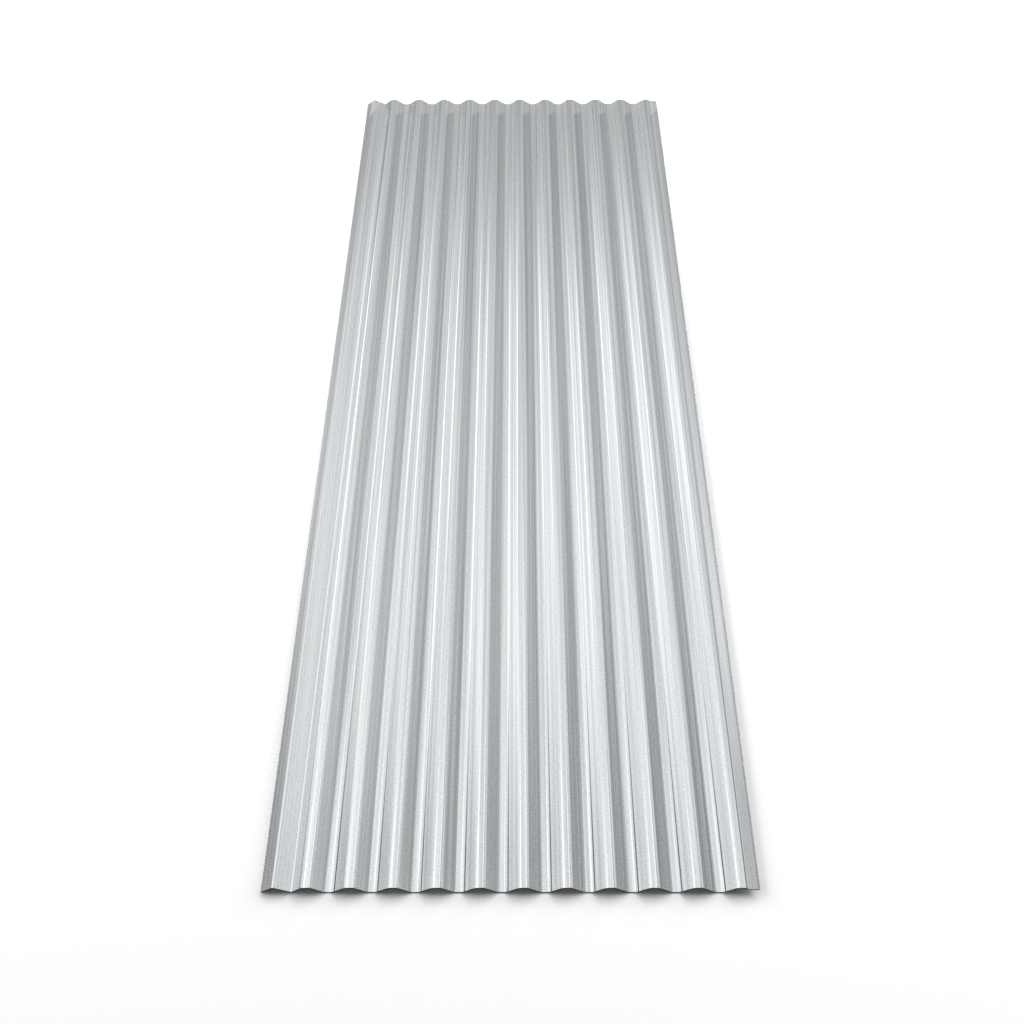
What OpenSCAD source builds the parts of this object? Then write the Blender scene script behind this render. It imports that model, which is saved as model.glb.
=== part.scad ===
// Corrugated roofing sheet: one strip of thin galvanized steel, rolled into flat-topped
// waves. One side ends in a folded lap ridge, and the other in a step and a flat lip.
// X runs across the waves, Y along them, and Z up. The origin is the middle of the
// underside, so the valleys rest on Z = 0.

/* [Sheet] */
// Length of the sheet, along its waves
sheet_length = 2440; // [600:10:6000]
// Thickness of the steel, zinc coating included
steel_t = 0.5; // [0.3:0.05:1.2]

/* [Waves] */
// Number of full crests, without the lap ridge
crests = 11; // [2:1:20]
// Distance from one crest to the next
pitch = 71.5; // [55:0.5:100]
// Height of a crest over a valley, from mid-thickness to mid-thickness
rise = 15; // [8:0.5:22]
// Width of a crest or a valley, from corner to corner
crest_w = 14; // [8:0.5:20]
// Radius of the rolled bends, at mid-thickness
bend_r = 12; // [2:0.5:16]

/* [Lap ridge] */
// Run of the slope from the first full crest down to the ridge's valley fold
ridge_valley_run = 18; // [12:0.5:30]
// Run of the ridge's inner slope, from its valley fold up to the ridge
ridge_inner_run = 30; // [18:0.5:40]
// Run of the ridge's outer slope, from the ridge down to the free edge
ridge_outer_run = 20; // [10:0.5:30]
// Radius of the tight folds of the ridge and the lip, at mid-thickness
fold_r = 2; // [1:0.25:4]

/* [Lip] */
// Drop of the step from the last crest to the lip
lip_drop = 4.5; // [2:0.25:7]
// Run of the step
lip_step_run = 2.5; // [1:0.25:8]
// Width of the flat lip, from its fold to the free edge
lip_w = 20.5; // [6:0.5:30]

/* [Hidden] */

facet_angle = 4; // largest turn of one flat in a rolled bend

// Corners of the strip at mid-thickness, as [x, z, bend radius], from the ridge's free
// edge to the lip's. The first full crest is centred on x = 0.
first_corner_x = -crest_w / 2;
last_corner_x = (crests - 1) * pitch + crest_w / 2;

function crest_corners(k) = [
    [k * pitch - crest_w / 2, rise, bend_r],
    [k * pitch + crest_w / 2, rise, bend_r]
];
function valley_corners(k) = [
    [(k + 0.5) * pitch - crest_w / 2, 0, bend_r],
    [(k + 0.5) * pitch + crest_w / 2, 0, bend_r]
];
function ridge_corners(valley_x) = [
    [valley_x - ridge_inner_run - ridge_outer_run, 0, 0],
    [valley_x - ridge_inner_run, rise, fold_r],
    [valley_x, 0, fold_r]
];
last_crest_corners = [
    [last_corner_x - crest_w, rise, bend_r],
    [last_corner_x, rise, fold_r]
];
lip_corners = [
    [last_corner_x + lip_step_run, rise - lip_drop, fold_r],
    [last_corner_x + lip_step_run + lip_w, rise - lip_drop, 0]
];
corners = concat(
    ridge_corners(first_corner_x - ridge_valley_run),
    [for (k = [0 : crests - 2]) each concat(crest_corners(k), valley_corners(k))],
    last_crest_corners,
    lip_corners
);

// Heading of the straight stretch from one corner to the next, and the normal on its left
function heading(a, b) = atan2(b[1] - a[1], b[0] - a[0]);
function normal(h) = [-sin(h), cos(h)];
function flat_of(corner) = [corner[0], corner[1]];

// Points of the rounded corner b, between its neighbours a and c, on the face that lies
// to the left of mid-thickness by that offset. Half of the shorter neighbouring stretch
// is the most that a bend may take up.
function bend(a, b, c, offset) =
    let (
        h = heading(a, b),
        turn = heading(b, c) - h,
        side = sign(turn),
        room = min(norm(flat_of(b) - flat_of(a)), norm(flat_of(c) - flat_of(b))) / 2,
        r = min(b[2], room / tan(abs(turn) / 2)),
        start = flat_of(b) - r * tan(abs(turn) / 2) * [cos(h), sin(h)],
        centre = start + side * r * normal(h),
        flats = ceil(abs(turn) / facet_angle)
    )
    [for (i = [0 : flats]) centre + (offset - side * r) * normal(h + turn * i / flats)];

// One face of the strip, from free edge to free edge
function face(path, offset) =
    let (last = len(path) - 1)
    concat(
        [flat_of(path[0]) + offset * normal(heading(path[0], path[1]))],
        [for (i = [1 : last - 1]) each bend(path[i - 1], path[i], path[i + 1], offset)],
        [flat_of(path[last]) + offset * normal(heading(path[last - 1], path[last]))]
    );
function reversed(points) = [for (i = [len(points) - 1 : -1 : 0]) points[i]];

section = concat(face(corners, steel_t / 2), reversed(face(corners, -steel_t / 2)));
section_x = [for (point = section) point[0]];
section_z = [for (point = section) point[1]];
middle_x = (min(section_x) + max(section_x)) / 2;

module corrugated_sheet() {
    color("#b7bdc0")
        rotate([90, 0, 0])
            linear_extrude(height = sheet_length, center = true)
                translate([-middle_x, -min(section_z)])
                    polygon(section);
}

corrugated_sheet();
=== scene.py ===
import math

import bpy
import numpy as np
from mathutils import Matrix, Vector


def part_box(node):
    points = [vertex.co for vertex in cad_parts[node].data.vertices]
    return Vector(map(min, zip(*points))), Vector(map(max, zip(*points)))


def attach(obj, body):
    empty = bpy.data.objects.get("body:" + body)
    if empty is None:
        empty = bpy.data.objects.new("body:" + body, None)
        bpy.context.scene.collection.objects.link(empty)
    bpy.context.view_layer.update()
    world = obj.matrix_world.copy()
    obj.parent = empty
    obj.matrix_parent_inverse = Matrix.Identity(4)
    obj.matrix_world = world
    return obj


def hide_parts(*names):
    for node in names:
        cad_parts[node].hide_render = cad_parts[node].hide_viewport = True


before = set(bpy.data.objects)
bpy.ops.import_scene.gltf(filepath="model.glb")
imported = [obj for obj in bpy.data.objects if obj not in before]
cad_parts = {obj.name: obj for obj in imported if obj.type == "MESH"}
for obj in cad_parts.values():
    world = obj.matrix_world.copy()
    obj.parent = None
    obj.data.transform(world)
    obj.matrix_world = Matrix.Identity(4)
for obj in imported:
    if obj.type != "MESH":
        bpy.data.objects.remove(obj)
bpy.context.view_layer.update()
sheetLow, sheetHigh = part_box("corrugated_sheet")


# camera: in front of the near end, looking down along the waves
camera = {
    "place": (0.0095, -2.3048, 2.0874),
    "lookDown": math.radians(47.10),
    "turnLeft": math.radians(0.215),
    "roll": math.radians(-0.189),
    "lens": 48.47,  # mm
    "sensor": 36,  # mm wide
    "reach": 100,  # it sees past the backdrop
}


def makeCamera(c):
    data = bpy.data.cameras.new("camera")
    data.lens = c["lens"]
    data.sensor_width = c["sensor"]
    data.clip_end = c["reach"]
    data.dof.use_dof = False
    obj = bpy.data.objects.new("camera", data)
    bpy.context.scene.collection.objects.link(obj)
    tilt = Matrix.Rotation(math.pi / 2 - c["lookDown"], 4, "X")
    turn = Matrix.Rotation(c["turnLeft"], 4, "Z")
    roll = Matrix.Rotation(c["roll"], 4, "Z")
    obj.matrix_world = Matrix.Translation(c["place"]) @ turn @ tilt @ roll
    bpy.context.scene.camera = obj


makeCamera(camera)
print("camera placed")


# the sheet, in metres: the CAD model's section with finer bends, softer ridge folds and a lip that
# hangs a little
sheet = {
    "length": sheetHigh.y - sheetLow.y,
    "thickness": 0.0005,
    "crests": 11,
    "pitch": 0.0715,
    "rise": 0.015,
    "crestWidth": 0.014,
    "bendRadius": 0.012,
    "ridgeValleyRun": 0.018,
    "ridgeInnerRun": 0.030,
    "ridgeOuterRun": 0.020,
    "ridgeFold": 0.0035,  # a little softer than the CAD model's folds, so that they catch the light
    "foldRadius": 0.002,
    "lipDrop": 0.0045,
    "lipStepRun": 0.0025,
    "lipWidth": 0.02048,
    "lipSag": 0.0008,  # how far the lip's free edge hangs below its fold
    "rubRidge": (1, 1),  # how strongly the rolls rub each bend in turn, 0 to 1, and so how much painted highlight its paler zinc adds
    "rubWave": (1, 0.8, 0.1, 1),  # left and right of the crest, left and right of the valley
    "rubLip": (1, 0.8, 0.4),
    "pastBend": 0.004,  # flat strip that counts as much as half a bend when the rubbing fades
    "bendSteps": 8,  # even, so that a bend has a point at its middle
    "flatSteps": 2,
    "rows": 56,
    "crowding": 1.5,  # rows lie closer together toward the ends by this power
    "firstRow": 0.0003,  # the first row in from a cut, and where the crowded rows begin
    "crowdFrom": 0.004,
    "flare": 0.0008,  # how far the valleys spring up at the two sheared ends
    "flareLength": 0.07,
    "edgeShadeStrip": 0.0008,  # how far back from a cut the top is painted dark too, as painted shade along the edge
    "droop": 0.0002,  # how far a sheared end is drawn down
    "droopLength": 0.0016,
    "waviness": 0.00012,  # how far a rolled sheet wanders up and down
    "ripples": 5,  # how many sines add up to the waviness, and their radians per metre
    "rippleAlong": (2.0, 7.0),
    "rippleAcross": (-14.0, 14.0),
    "sway": 0.0003,  # how far it wanders sideways, in so many half waves from this angle
    "swayWaves": 1.3,
    "swayStart": 0.6,
    "sharpAngle": math.radians(35),
    "seed": 7,
}


def sheetCorners(c):
    # corners of the strip at mid-thickness, as x, z and bend radius, ridge's free edge first
    half, top, bend, fold = c["crestWidth"] / 2, c["rise"], c["bendRadius"], c["foldRadius"]
    x = -half - c["ridgeValleyRun"]
    corners = [
        (x - c["ridgeInnerRun"] - c["ridgeOuterRun"], 0, 0),
        (x - c["ridgeInnerRun"], top, c["ridgeFold"]),
        (x, 0, c["ridgeFold"]),
    ]
    for k in range(c["crests"] - 1):
        crest = k * c["pitch"]
        valley = crest + c["pitch"] / 2
        corners += [(crest - half, top, bend), (crest + half, top, bend)]
        corners += [(valley - half, 0, bend), (valley + half, 0, bend)]
    x = (c["crests"] - 1) * c["pitch"]
    corners += [(x - half, top, bend), (x + half, top, fold)]
    x += half + c["lipStepRun"]
    corners += [(x, top - c["lipDrop"], fold), (x + c["lipWidth"], top - c["lipDrop"] - c["lipSag"], 0)]
    return np.array(corners)


def sheetPath(c):
    # The section as a strip: each straight stretch keeps its heading, each bend turns at an even
    # rate over radius times angle, and x and z are the running sums of the steps along it.
    corners = sheetCorners(c)
    legs = np.diff(corners[:, :2], axis=0)
    heading = np.arctan2(legs[:, 1], legs[:, 0])
    length = np.hypot(legs[:, 0], legs[:, 1])
    turn = np.diff(heading)
    cut = corners[1:-1, 2] * np.tan(np.abs(turn) / 2)
    straight = length - np.concatenate([[0], cut]) - np.concatenate([cut, [0]])
    arc = corners[1:-1, 2] * np.abs(turn)
    steps, headings = [], []
    for i in range(len(legs)):
        steps.append(np.full(c["flatSteps"], straight[i] / c["flatSteps"]))
        headings.append(np.full(c["flatSteps"], heading[i]))
        if i < len(turn):
            share = (np.arange(c["bendSteps"]) + 0.5) / c["bendSteps"]
            radius = corners[i + 1, 2]
            chord = 2 * radius * math.sin(abs(turn[i]) / c["bendSteps"] / 2)
            steps.append(np.full(c["bendSteps"], chord))
            headings.append(heading[i] + turn[i] * share)
    steps, headings = np.concatenate(steps), np.concatenate(headings)
    x = corners[0, 0] + np.concatenate([[0], np.cumsum(steps * np.cos(headings))])
    z = corners[0, 1] + np.concatenate([[0], np.cumsum(steps * np.sin(headings))])
    middle = (headings[1:] + headings[:-1]) / 2
    atPoint = np.concatenate([headings[:1], middle, headings[-1:]])
    strip = np.concatenate([[0], np.cumsum(steps)])

    # place in the bends: 0 at a bend's middle, 1 where it ends, and 1 more for each stretch of
    # "pastBend" after that
    ends = np.cumsum(length - np.concatenate([[0], cut]) - np.concatenate([cut, [0]]) + np.append(arc, 0))
    middles = ends[:-1] - arc / 2
    away = np.abs(strip[:, None] - middles[None, :]) - arc / 2
    nearest = away.argmin(axis=1)
    away = away[np.arange(len(strip)), nearest]
    inBend = np.where(away < 0, 1 + away / (arc[nearest] / 2), 1 + away / c["pastBend"])

    # the ridge's inner side, rubbed all over, and so painted with highlight all over
    inBend[(x > corners[1, 0]) & (x < corners[2, 0])] = 0

    # The rolls rub three of a wave's four bends: both sides of the crest and the foot to its left. The
    # rubbing also sets the painted highlight on each bend.
    waves = c["crests"] - 1
    rub = [*c["rubRidge"], *(c["rubWave"] * waves), *c["rubLip"]]
    return x, z, atPoint, strip, inBend, np.array(rub)[nearest]


def makeSheet(c):
    x, z, heading, strip, inBend, rub = sheetPath(c)
    crestOnStrip = np.interp(0, x, strip)
    half = c["thickness"] / 2
    nx, nz = -np.sin(heading), np.cos(heading)
    loopX = np.concatenate([x + half * nx, (x - half * nx)[::-1]])
    loopZ = np.concatenate([z + half * nz, (z - half * nz)[::-1]])
    loopX += (sheetLow.x + sheetHigh.x) / 2 - (loopX.min() + loopX.max()) / 2
    loopZ += sheetLow.z - loopZ.min()

    # rows along the waves, closer together at the two sheared ends
    shear = np.array([0, c["firstRow"], c["edgeShadeStrip"], c["droopLength"]])
    spread = np.linspace(0, 1, c["rows"] // 2) ** c["crowding"]
    inner = c["crowdFrom"] + (c["length"] / 2 - c["crowdFrom"]) * spread
    side = np.concatenate([shear, inner]) - c["length"] / 2
    y = np.concatenate([side, -side[-2::-1]])

    # Each sheared end is drawn down a little, by the square of the distance into its droop length.
    edge = np.clip(1 - (c["length"] / 2 - np.abs(y)) / c["droopLength"], 0, 1)
    droop = c["droop"] * edge ** 2

    # Waviness is a sum of slow sines along and across the sheet; it is at its lowest where the CAD
    # box ends, so the sheet never leaves it.
    rng = np.random.default_rng(c["seed"])
    gridY, gridX = np.meshgrid(y, loopX, indexing="ij")
    wave = np.zeros_like(gridY)
    for k in range(c["ripples"]):
        along = rng.uniform(*c["rippleAlong"])
        across = rng.uniform(*c["rippleAcross"])
        wave += np.sin(along * gridY + across * gridX + rng.uniform(0, 2 * math.pi)) / c["ripples"]
    share = loopZ / loopZ.max()
    height = loopZ + c["waviness"] * (wave - 1) * share - droop[:, None] * share

    # End flare: the section opens and its valleys spring up off the floor, by the square of the
    # distance into the flare length. The sway is a sine along the sheet that dies out at its sides.
    flare = np.clip(1 - (c["length"] / 2 - np.abs(y)) / c["flareLength"], 0, 1) ** 2
    height += c["flare"] * flare[:, None] * (1 - share)
    phase = c["swayWaves"] * math.pi * gridY / c["length"] + c["swayStart"]
    sway = c["sway"] * np.sin(phase) * (1 - (gridX / sheetHigh.x) ** 2)
    points = np.stack([gridX + sway, gridY, height], axis=-1)

    rows, around = points.shape[:2]
    index = np.arange(rows * around).reshape(rows, around)
    nextAround = np.roll(index, -1, axis=1)
    skin = np.stack([index[:-1], index[1:], nextAround[1:], nextAround[:-1]], axis=-1).reshape(-1, 4)
    top = np.arange(around // 2 - 1)
    bottom = around - 1 - top
    cap = np.stack([top, top + 1, bottom - 1, bottom], axis=-1)
    nearCap = index[0][cap][:, ::-1]
    farCap = index[-1][cap]
    quads = np.concatenate([skin, nearCap, farCap])

    mesh = bpy.data.meshes.new("galvanisedSheet")
    mesh.vertices.add(rows * around)
    mesh.vertices.foreach_set("co", points.reshape(-1))
    mesh.loops.add(quads.size)
    mesh.loops.foreach_set("vertex_index", quads.reshape(-1))
    mesh.polygons.add(len(quads))
    mesh.polygons.foreach_set("loop_start", np.arange(0, quads.size, 4))
    mesh.polygons.foreach_set("loop_total", np.full(len(quads), 4))
    mesh.polygons.foreach_set("use_smooth", np.ones(len(quads), bool))
    # UV map: metres of flat strip from the first full crest, and metres along the sheet
    flat = np.concatenate([strip, strip[::-1]]) - crestOnStrip
    flatU = np.broadcast_to(flat, (rows, around))
    uv = np.stack([flatU, gridY], axis=-1).reshape(-1, 2)[quads.reshape(-1)]
    mesh.uv_layers.new(name="flatStrip").data.foreach_set("uv", uv.reshape(-1))
    # point attributes "inBend" and "rub" for the rubbed bends and their painted highlight, and corner
    # attributes "cutEdge" and "underside": the sheared ends and a strip beside them, painted dark as
    # painted shade along the edges, and the underside, painted darker as painted shade beneath the sheet
    for name, value in (("inBend", inBend), ("rub", rub)):
        layer = mesh.attributes.new(name, "FLOAT", "POINT")
        layer.data.foreach_set("value", np.tile(np.concatenate([value, value[::-1]]), rows))
    shearedAndPaintedShade = np.zeros(len(quads))
    edgeShadeRows = np.abs(y[:-1] + y[1:]) / 2 > c["length"] / 2 - c["edgeShadeStrip"]
    shearedAndPaintedShade[:len(skin)] = np.repeat(edgeShadeRows, around)
    shearedAndPaintedShade[len(skin):] = 1
    undersidePaintedShade = np.zeros(len(quads))
    undersidePaintedShade[:len(skin)] = np.tile(np.arange(around) >= around // 2, rows - 1)
    for name, value in (("cutEdge", shearedAndPaintedShade), ("underside", undersidePaintedShade)):
        layer = mesh.attributes.new(name, "FLOAT", "CORNER")
        layer.data.foreach_set("value", np.repeat(value, 4))
    mesh.update(calc_edges=True)
    mesh.validate()
    mesh.set_sharp_from_angle(angle=c["sharpAngle"])
    obj = bpy.data.objects.new("galvanisedSheet", mesh)
    bpy.context.scene.collection.objects.link(obj)
    return obj


def hexColour(text):
    # sRGB hex to linear
    value = np.array([int(text[i:i + 2], 16) for i in (1, 3, 5)]) / 255
    linear = np.where(value <= 0.04045, value / 12.92, ((value + 0.055) / 1.055) ** 2.4)
    return (*linear.tolist(), 1.0)


def addNode(tree, kind, settings=None, links=None):
    # one node: settings are properties by name or socket values by name, links feed its sockets
    node = tree.nodes.new(kind)
    for key, value in (settings or {}).items():
        if isinstance(key, int) or key in node.inputs:
            node.inputs[key].default_value = value
        else:
            setattr(node, key, value)
    for key, source in (links or {}).items():
        tree.links.new(source, node.inputs[key])
    return node


def stripPositions(c):
    # where things lie on the flat strip, from a crest's centre: one wave's length of strip, and the
    # middle and the half width of the bend beside the crest
    slopeRun = c["pitch"] / 2 - c["crestWidth"]
    slope = math.hypot(slopeRun, c["rise"])
    angle = math.atan2(c["rise"], slopeRun)
    cut = c["bendRadius"] * math.tan(angle / 2)
    arc = c["bendRadius"] * angle
    wave = 2 * (c["crestWidth"] + slope - 4 * cut + 2 * arc)
    return wave, c["crestWidth"] / 2 - cut + arc / 2, arc / 2


finish = {
    "zinc": "#eaeff1",
    "zincCool": "#eaeff2",
    "zincWarm": "#ebeff0",
    "zincRubbedPaintedHighlight": "#f5f9fb",
    "roughFlat": 0.27,
    "roughBend": 0.12,
    "roughGrain": 0.02,
    # the cut faces' bare steel, painted near black as painted shade along the edges
    "bareSteelPaintedShade": "#2c2e30",
    "roughBare": 0.5,
    # painted shade: how dark the underside is made, so that less light reaches the floor beneath the arches
    "undersideShade": 0.4,
    # each pattern: its cells' width and length, and the levels of finer detail in them
    "grain": (0.0070, 0.0024, 2),  # 0.5 mm on the real sheet; drawn 5 to 14 times as coarse, to show
    "grainShade": (0.91, 1.09),
    "streaks": (0.0055, 1.20, 1),
    "streakShade": (0.84, 1.08),
    "drawLines": (0.0014, 1.50, 0),  # 0.3 mm apart on the real sheet; drawn nearly 5 times as coarse
    "drawShade": (0.955, 1.045),
    "clouds": (0.020, 0.25, 1),
    "cloudTints": (0.34, 0.5, 0.68),  # places of the cool, plain and warm zinc in the clouds
    "noiseSpan": (0.3, 0.7),  # where nearly all of a noise lies
    "noiseRoughness": 0.6,
    "rubFrom": 1.3,  # place in the bend where the rubbing and its painted highlight begin, and where they are full
    "rubFull": 0.7,
    "markCore": 0.25,  # the share of a painted shade line's width that is at full strength
    "paintedShadeLines": {  # painted shade: dark lines and bands beside the bends; place across the wave from its crest, and the stretch along which it comes in
        "valley": {
            "place": -0.0292, "width": 0.0018, "depth": 0.80, "from": -0.7, "full": -1.15, "firstWave": 0,
        },
        "foot": {
            "place": 0.0313, "width": 0.0050, "depth": 0.30, "from": 2.0, "full": -1.2, "firstWave": 0,
        },
        "crest": {
            "place": -0.0025, "width": 0.0040, "depth": 0.14, "from": -0.7, "full": 0.1, "firstWave": 3.5,
        },
    },
    "lipFold": 0.0135,  # where the lip's painted shade starts, along the strip from the last crest
    "lipShade": 0.70,
    "lipFrom": -0.65,
    "lipFull": -1.05,
    "endReach": 0.098,  # how far the matt end, painted paler as painted light, reaches, its slant, and how soft its edge is
    "endSlant": 1.6,
    "endEdge": 0.012,
    "endShade": 1.08,
    "roughEnd": 0.45,
}


def galvanisedSteel(c, form):
    # Hot-dip galvanised steel with a small regular grain, skin-passed and then roll formed: a pale,
    # cool grey that mirrors softly, with long faint streaks along the rolling direction, smoother rubbed
    # bends painted paler as painted highlight, painted shade lines along the waves and faint cool and
    # warm clouds in the zinc.
    material = bpy.data.materials.new("hotDipGalvanisedSteel")
    material.use_nodes = True
    tree = material.node_tree
    tree.nodes.clear()
    wave, bendMiddle, bendHalf = stripPositions(form)
    strip = addNode(tree, "ShaderNodeUVMap", {"uv_map": "flatStrip"}).outputs["UV"]
    across, along = addNode(tree, "ShaderNodeSeparateXYZ", None, {"Vector": strip}).outputs[:2]

    inBend = addNode(tree, "ShaderNodeAttribute", {"attribute_name": "inBend"}).outputs["Fac"]
    rubbedAndPaintedHighlight = addNode(tree, "ShaderNodeMapRange", {
        "interpolation_type": "SMOOTHSTEP", "From Min": c["rubFrom"], "From Max": c["rubFull"],
        "To Min": 0.0, "To Max": 1.0,
    }, {"Value": inBend}).outputs["Result"]
    rub = addNode(tree, "ShaderNodeAttribute", {"attribute_name": "rub"}).outputs["Fac"]
    rubbedAndPaintedHighlight = addNode(tree, "ShaderNodeMath", {"operation": "MULTIPLY"}, {0: rubbedAndPaintedHighlight, 1: rub}).outputs[0]
    shearedAndPaintedShade = addNode(tree, "ShaderNodeAttribute", {"attribute_name": "cutEdge"}).outputs["Fac"]

    # noise patterns, their cells so many metres wide and long, with so much finer detail
    noise = {}
    for name in ("streaks", "drawLines", "clouds", "grain"):
        width, length, detail = c[name]
        squeeze = addNode(tree, "ShaderNodeMapping", {"Scale": (1 / width, 1 / length, 1)}, {"Vector": strip})
        noise[name] = addNode(tree, "ShaderNodeTexNoise", {
            "noise_dimensions": "2D", "Scale": 1.0, "Detail": detail, "Roughness": c["noiseRoughness"],
        }, {"Vector": squeeze.outputs["Vector"]}).outputs["Fac"]

    tint = addNode(tree, "ShaderNodeValToRGB", None, {"Fac": noise["clouds"]})
    ramp = tint.color_ramp
    coolPlace, plainPlace, warmPlace = c["cloudTints"]
    ramp.elements[0].position = coolPlace
    ramp.elements[0].color = hexColour(c["zincCool"])
    ramp.elements[1].position = warmPlace
    ramp.elements[1].color = hexColour(c["zincWarm"])
    ramp.elements.new(plainPlace).color = hexColour(c["zinc"])

    # streaks, drawn lines and grain each lighten and darken the zinc a little
    shades = []
    noiseLow, noiseHigh = c["noiseSpan"]
    for name, span in (("streaks", "streakShade"), ("drawLines", "drawShade"), ("grain", "grainShade")):
        darkest, lightest = c[span]
        shades.append(addNode(tree, "ShaderNodeMapRange", {
            "clamp": False, "From Min": noiseLow, "From Max": noiseHigh,
            "To Min": darkest, "To Max": lightest,
        }, {"Value": noise[name]}).outputs["Result"])

    # place across the nearest wave, from its crest, with the left side negative
    place = addNode(tree, "ShaderNodeMath", {
        "operation": "WRAP", 1: wave / 2, 2: -wave / 2,
    }, {0: across}).outputs[0]

    # painted shade: dark lines and bands along the waves beside the bends, each coming in along the sheet
    for shadeLine in c["paintedShadeLines"].values():
        off = addNode(tree, "ShaderNodeMath", {"operation": "SUBTRACT", 1: shadeLine["place"]}, {0: place})
        off = addNode(tree, "ShaderNodeMath", {"operation": "ABSOLUTE"}, {0: off.outputs[0]})
        line = addNode(tree, "ShaderNodeMapRange", {
            "interpolation_type": "SMOOTHSTEP", "From Min": shadeLine["width"],
            "From Max": shadeLine["width"] * c["markCore"], "To Min": 0.0, "To Max": 1.0,
        }, {"Value": off.outputs[0]}).outputs["Result"]
        fade = addNode(tree, "ShaderNodeMapRange", {
            "From Min": shadeLine["from"], "From Max": shadeLine["full"], "To Min": 0.0, "To Max": -shadeLine["depth"],
        }, {"Value": along}).outputs["Result"]
        marked = addNode(tree, "ShaderNodeMath", {
            "operation": "GREATER_THAN", 1: shadeLine["firstWave"] * wave,
        }, {0: across})
        line = addNode(tree, "ShaderNodeMath", {"operation": "MULTIPLY"}, {0: line, 1: marked.outputs[0]})
        shades.append(addNode(tree, "ShaderNodeMath", {
            "operation": "MULTIPLY_ADD", 2: 1.0,
        }, {0: line.outputs[0], 1: fade}).outputs[0])

    # painted shade: the lip's colour is darker toward its near end
    lip = addNode(tree, "ShaderNodeMath", {
        "operation": "GREATER_THAN", 1: (form["crests"] - 1) * wave + c["lipFold"],
    }, {0: across})
    lipPaintedShade = addNode(tree, "ShaderNodeMapRange", {
        "From Min": c["lipFrom"], "From Max": c["lipFull"], "To Min": 0.0, "To Max": c["lipShade"] - 1,
    }, {"Value": along})
    shades.append(addNode(tree, "ShaderNodeMath", {
        "operation": "MULTIPLY_ADD", 2: 1.0,
    }, {0: lipPaintedShade.outputs["Result"], 1: lip.outputs[0]}).outputs[0])

    # a matt end to each right slope at the far end, cut off slantwise, with its colour painted paler as
    # painted light
    slanted = addNode(tree, "ShaderNodeMath", {
        "operation": "MULTIPLY_ADD", 1: -c["endSlant"],
    }, {0: place, 2: along})
    endStart = form["length"] / 2 - c["endReach"]
    reached = addNode(tree, "ShaderNodeMapRange", {
        "interpolation_type": "SMOOTHSTEP", "From Min": endStart, "From Max": endStart + c["endEdge"],
        "To Min": 0.0, "To Max": 1.0,
    }, {"Value": slanted.outputs[0]}).outputs["Result"]
    offSlope = addNode(tree, "ShaderNodeMath", {"operation": "SUBTRACT", 1: wave / 4}, {0: place})
    offSlope = addNode(tree, "ShaderNodeMath", {"operation": "ABSOLUTE"}, {0: offSlope.outputs[0]})
    onSlope = addNode(tree, "ShaderNodeMapRange", {
        "interpolation_type": "SMOOTHSTEP", "From Min": wave / 4 - bendMiddle + bendHalf,
        "From Max": wave / 4 - bendMiddle - bendHalf, "To Min": 0.0, "To Max": 1.0,
    }, {"Value": offSlope.outputs[0]}).outputs["Result"]
    mattAndPaintedLight = addNode(tree, "ShaderNodeMath", {"operation": "MULTIPLY"}, {0: reached, 1: onSlope}).outputs[0]
    shades.append(addNode(tree, "ShaderNodeMath", {
        "operation": "MULTIPLY_ADD", 1: c["endShade"] - 1, 2: 1.0,
    }, {0: mattAndPaintedLight}).outputs[0])

    # painted shade: the underside is darkened, so that less light bounces onto the floor beneath the arches
    undersidePaintedShade = addNode(tree, "ShaderNodeAttribute", {"attribute_name": "underside"}).outputs["Fac"]
    shades.append(addNode(tree, "ShaderNodeMapRange", {
        "To Min": 1.0, "To Max": c["undersideShade"],
    }, {"Value": undersidePaintedShade}).outputs["Result"])

    # all of them together darken the zinc, and the cuts and the strips beside them are bare steel painted
    # near black, as painted shade along the edges
    total = shades[0]
    for part in shades[1:]:
        total = addNode(tree, "ShaderNodeMath", {"operation": "MULTIPLY"}, {0: total, 1: part}).outputs[0]
    # painted highlight: the rubbed bends get a paler zinc colour; their smoothness in the roughness below is
    # real
    colour = addNode(tree, "ShaderNodeMix", {"data_type": "RGBA", 7: hexColour(c["zincRubbedPaintedHighlight"])}, {
        0: rubbedAndPaintedHighlight, 6: tint.outputs["Color"],
    }).outputs[2]
    colour = addNode(tree, "ShaderNodeVectorMath", {"operation": "SCALE"}, {0: colour, "Scale": total})
    colour = addNode(tree, "ShaderNodeMix", {"data_type": "RGBA", 7: hexColour(c["bareSteelPaintedShade"])}, {
        0: shearedAndPaintedShade, 6: colour.outputs["Vector"],
    }).outputs[2]

    # roughness: smooth where rubbed, uneven with the grain, matt at the right slopes' far ends
    rough = addNode(tree, "ShaderNodeMapRange", {
        "To Min": c["roughFlat"], "To Max": c["roughBend"],
    }, {"Value": rubbedAndPaintedHighlight}).outputs["Result"]
    uneven = addNode(tree, "ShaderNodeMapRange", {
        "From Min": noiseLow, "From Max": noiseHigh,
        "To Min": -c["roughGrain"], "To Max": c["roughGrain"],
    }, {"Value": noise["grain"]}).outputs["Result"]
    rough = addNode(tree, "ShaderNodeMath", {"operation": "ADD"}, {0: rough, 1: uneven})
    rough = addNode(tree, "ShaderNodeMix", {3: c["roughEnd"]}, {0: mattAndPaintedLight, 2: rough.outputs[0]})
    rough = addNode(tree, "ShaderNodeMix", {3: c["roughBare"]}, {0: shearedAndPaintedShade, 2: rough.outputs[0]})

    shader = addNode(tree, "ShaderNodeBsdfPrincipled", {"Metallic": 1.0}, {
        "Base Color": colour,
        "Roughness": rough.outputs[0],
    })
    addNode(tree, "ShaderNodeOutputMaterial", None, {"Surface": shader.outputs["BSDF"]})
    return material


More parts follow.
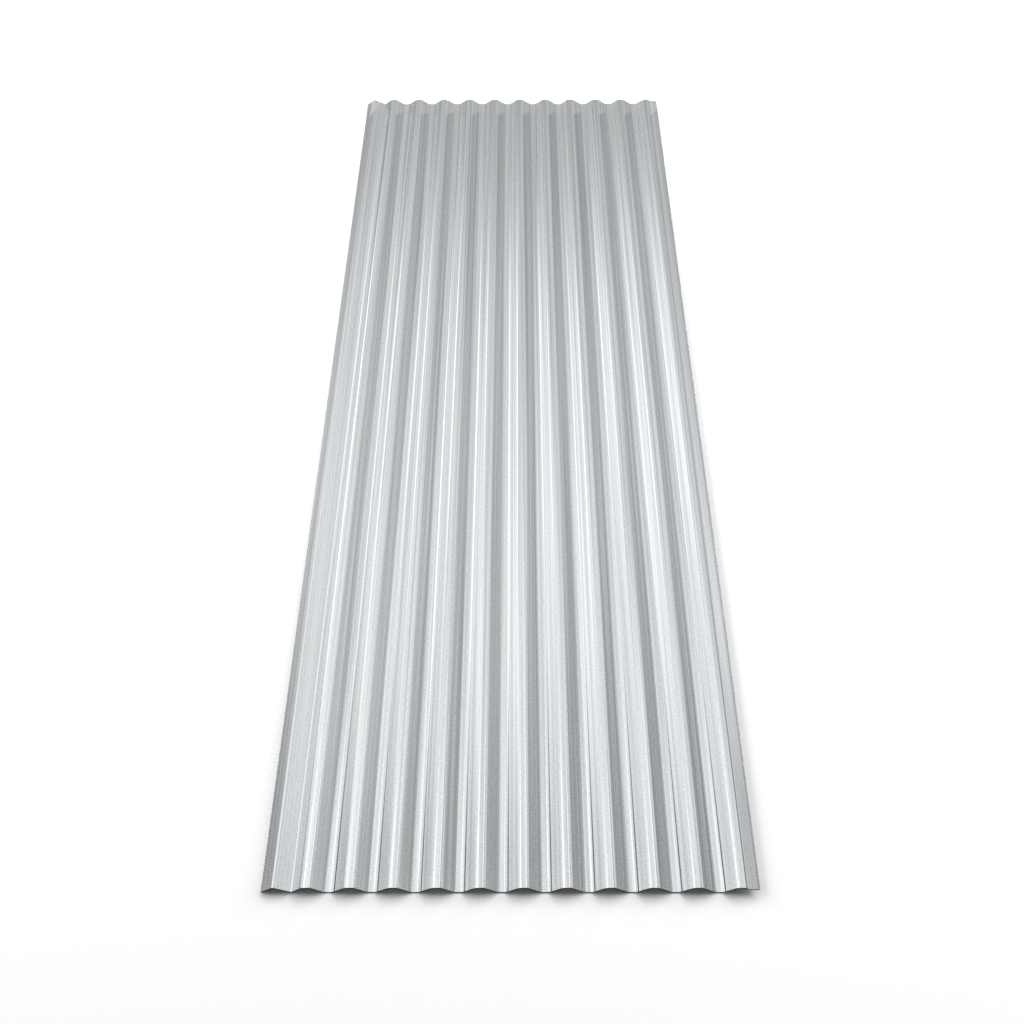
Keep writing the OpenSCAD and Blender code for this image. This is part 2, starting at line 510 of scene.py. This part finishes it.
steelSheet = makeSheet(sheet)
steelSheet.data.materials.append(galvanisedSteel(finish, sheet))
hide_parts("corrugated_sheet")
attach(steelSheet, "root")
print("sheet made,", len(steelSheet.data.polygons), "quads")


# floor: plain and pale, flat under the sheet and swept up into a backdrop at its rim
floor = {
    "radius": 12.0,
    "sweep": 8.0,
    "wall": 12.0,
    "reflectance": 0.55,
    "glow": 1.1,  # stands in for the light of the room, where the softboxes don't reach
    "glowFrom": 1.7,
    "glowFull": 3.6,
    "steps": 12,
    "around": 48,
}


def makeFloor(c):
    # The profile runs out along the radius, round a quarter circle and up a wall; it is then turned
    # about Z: x = r cos(a), y = r sin(a).
    share = np.linspace(0, 1, c["steps"] + 1)
    quarter = share * math.pi / 2
    r = np.concatenate([share * c["radius"], c["radius"] + c["sweep"] * np.sin(quarter[1:])])
    z = np.concatenate([share * 0, c["sweep"] * (1 - np.cos(quarter[1:]))])
    r, z = np.append(r, r[-1]), np.append(z, z[-1] + c["wall"])
    angle = np.linspace(0, 2 * math.pi, c["around"], endpoint=False)
    ring, turned = np.meshgrid(r[1:], angle, indexing="ij")
    height = np.broadcast_to(z[1:, None], ring.shape)
    points = np.stack([ring * np.cos(turned), ring * np.sin(turned), height], axis=-1).reshape(-1, 3)
    points = np.concatenate([points, [[0, 0, 0]]])
    index = np.arange(ring.size).reshape(ring.shape)
    onward = np.roll(index, -1, axis=1)
    quads = np.stack([index[:-1], index[1:], onward[1:], onward[:-1]], axis=-1).reshape(-1, 4)
    middle = np.stack([np.full(c["around"], ring.size), index[0], onward[0]], axis=-1)
    mesh = bpy.data.meshes.new("floor")
    mesh.from_pydata(points.tolist(), [], quads.tolist() + middle.tolist())
    mesh.polygons.foreach_set("use_smooth", np.ones(len(mesh.polygons), bool))
    obj = bpy.data.objects.new("floor", mesh)
    bpy.context.scene.collection.objects.link(obj)

    # matt paint of one shade, with the glow growing outwards
    material = bpy.data.materials.new("matteWhitePaint")
    material.use_nodes = True
    material.cycles.emission_sampling = "NONE"
    tree = material.node_tree
    tree.nodes.clear()
    place = addNode(tree, "ShaderNodeTexCoord").outputs["Object"]
    away = addNode(tree, "ShaderNodeVectorMath", {"operation": "LENGTH"}, {0: place}).outputs["Value"]
    glow = addNode(tree, "ShaderNodeMapRange", {
        "interpolation_type": "SMOOTHSTEP", "From Min": c["glowFrom"], "From Max": c["glowFull"],
        "To Min": 0.0, "To Max": c["glow"],
    }, {"Value": away}).outputs["Result"]
    shader = addNode(tree, "ShaderNodeBsdfPrincipled", {
        "Base Color": (c["reflectance"], c["reflectance"], c["reflectance"], 1),
        "Roughness": 1.0, "Specular IOR Level": 0.0, "Emission Color": (1, 1, 1, 1),
    }, {"Emission Strength": glow})
    addNode(tree, "ShaderNodeOutputMaterial", None, {"Surface": shader.outputs["BSDF"]})
    mesh.materials.append(material)
    obj.visible_glossy = False  # the steel mirrors the studio only
    obj.visible_diffuse = False  # and the floor's glow lights nothing


makeFloor(floor)


# The steel mirrors a grey studio with feathered lights far away. Each light is a soft round patch:
# full strength inside its inner angle and none outside its outer one, all in degrees.
studio = {
    "grey": 0.31,
    "lights": {
        "highLeft": {"azimuth": -45, "elevation": 60, "inner": 10, "outer": 50, "strength": 0.55},
        "lowLeft": {"azimuth": -47, "elevation": 15, "inner": 0, "outer": 16, "strength": 0.68},
        "left": {"azimuth": -35, "elevation": 25, "inner": 0, "outer": 9, "strength": 0.65},
        "underLeft": {"azimuth": -35, "elevation": 17, "inner": 0, "outer": 5, "strength": 0.30},
        "leftNear": {"azimuth": -44, "elevation": 31, "inner": 0, "outer": 9, "strength": 0.22},
        "leftFar": {"azimuth": -28, "elevation": 27, "inner": 0, "outer": 6, "strength": 0.19},
        "rightFar": {"azimuth": 20, "elevation": 27, "inner": 0, "outer": 9, "strength": 0.10},
        "right": {"azimuth": 40, "elevation": 35, "inner": 0, "outer": 22, "strength": 0.36},
        "ahead": {"azimuth": 10, "elevation": 45, "inner": 0, "outer": 20, "strength": 0.12},
        "backWall": {"azimuth": 30, "elevation": 35, "inner": 5, "outer": 35, "strength": 0.08},
        "overLeft": {"azimuth": -29, "elevation": 62, "inner": 0, "outer": 11, "strength": 0.48},
        "overRight": {"azimuth": 23, "elevation": 59, "inner": 0, "outer": 8, "strength": 0.45},
        "lowRight": {"azimuth": 46, "elevation": 12, "inner": 0, "outer": 13, "strength": 0.18},
        "farRight": {"azimuth": 60, "elevation": 31, "inner": 0, "outer": 13, "strength": 0.12},
        "farLeft": {"azimuth": -60, "elevation": 25, "inner": 0, "outer": 15, "strength": 0.07},
        "behindCamera": {"azimuth": 180, "elevation": 35, "inner": 20, "outer": 75, "strength": 0.35},
        "rearLeft": {"azimuth": -140, "elevation": 28, "inner": 0, "outer": 18, "strength": 0.45},
        "rearRight": {"azimuth": 145, "elevation": 38, "inner": 0, "outer": 20, "strength": 0.25},
    },
}


def makeStudio(c):
    world = bpy.data.worlds.new("studio")
    bpy.context.scene.world = world
    world.cycles.sampling_method = "NONE"  # so no light samples are spent on the world
    world.use_nodes = True
    tree = world.node_tree
    tree.nodes.clear()
    look = addNode(tree, "ShaderNodeTexCoord").outputs["Generated"]
    total = None
    for name, light in c["lights"].items():
        azimuth, elevation = math.radians(light["azimuth"]), math.radians(light["elevation"])
        level = math.cos(elevation)
        centre = (level * math.sin(azimuth), level * math.cos(azimuth), math.sin(elevation))
        facing = addNode(tree, "ShaderNodeVectorMath", {"operation": "DOT_PRODUCT", 1: centre}, {0: look})
        patch = addNode(tree, "ShaderNodeMapRange", {
            "interpolation_type": "SMOOTHSTEP", "label": name,
            "From Min": math.cos(math.radians(light["outer"])),
            "From Max": math.cos(math.radians(light["inner"])),
            "To Min": 0.0, "To Max": light["strength"],
        }, {"Value": facing.outputs["Value"]}).outputs["Result"]
        if total is None:
            total = addNode(tree, "ShaderNodeMath", {"operation": "ADD", 1: c["grey"]}, {0: patch})
        else:
            total = addNode(tree, "ShaderNodeMath", {"operation": "ADD"}, {0: total.outputs[0], 1: patch})
    # the studio shows in the steel but sheds no light on the floor: no light after a diffuse bounce
    depth = addNode(tree, "ShaderNodeLightPath").outputs["Diffuse Depth"]
    straight = addNode(tree, "ShaderNodeMath", {"operation": "LESS_THAN", 1: 0.5}, {0: depth})
    total = addNode(tree, "ShaderNodeMath", {"operation": "MULTIPLY"}, {
        0: total.outputs[0], 1: straight.outputs[0],
    })
    background = addNode(tree, "ShaderNodeBackground", {"Color": (1, 1, 1, 1)}, {
        "Strength": total.outputs[0],
    })
    addNode(tree, "ShaderNodeOutputWorld", None, {"Surface": background.outputs["Background"]})


makeStudio(studio)


# softboxes for the floor; the steel doesn't mirror them
softboxes = {
    "backRight": {"place": (4.6, 2.6, 2.9), "aim": (0, 0, 0), "size": (7.0, 4.0), "radiance": 11.6},
    "backLeft": {"place": (-5.0, 1.8, 2.6), "aim": (0, 0, 0), "size": (7.0, 4.0), "radiance": 9.0},
    "back": {"place": (0.3, 5.0, 3.2), "aim": (0, 0, 0), "size": (4.0, 2.0), "radiance": 9.0},
    "front": {"place": (-0.3, -3.4, 4.5), "aim": (0, -1.2, 0), "size": (2.0, 2.0), "radiance": 3.5},
}


def hangSoftboxes(boxes):
    for name, box in boxes.items():
        width, height = box["size"]
        data = bpy.data.lights.new(name, "AREA")
        data.shape = "RECTANGLE"
        data.size, data.size_y = width, height
        data.energy = box["radiance"] * math.pi * width * height  # watts of an even area light
        obj = bpy.data.objects.new(name, data)
        bpy.context.scene.collection.objects.link(obj)
        obj.location = box["place"]
        obj.rotation_euler = (Vector(box["aim"]) - Vector(box["place"])).to_track_quat("-Z", "Y").to_euler()
        obj.visible_camera = False
        obj.visible_glossy = False


hangSoftboxes(softboxes)

scene = bpy.context.scene
scene.view_settings.view_transform = "Standard"
scene.view_settings.look = "None"
print("studio lit")
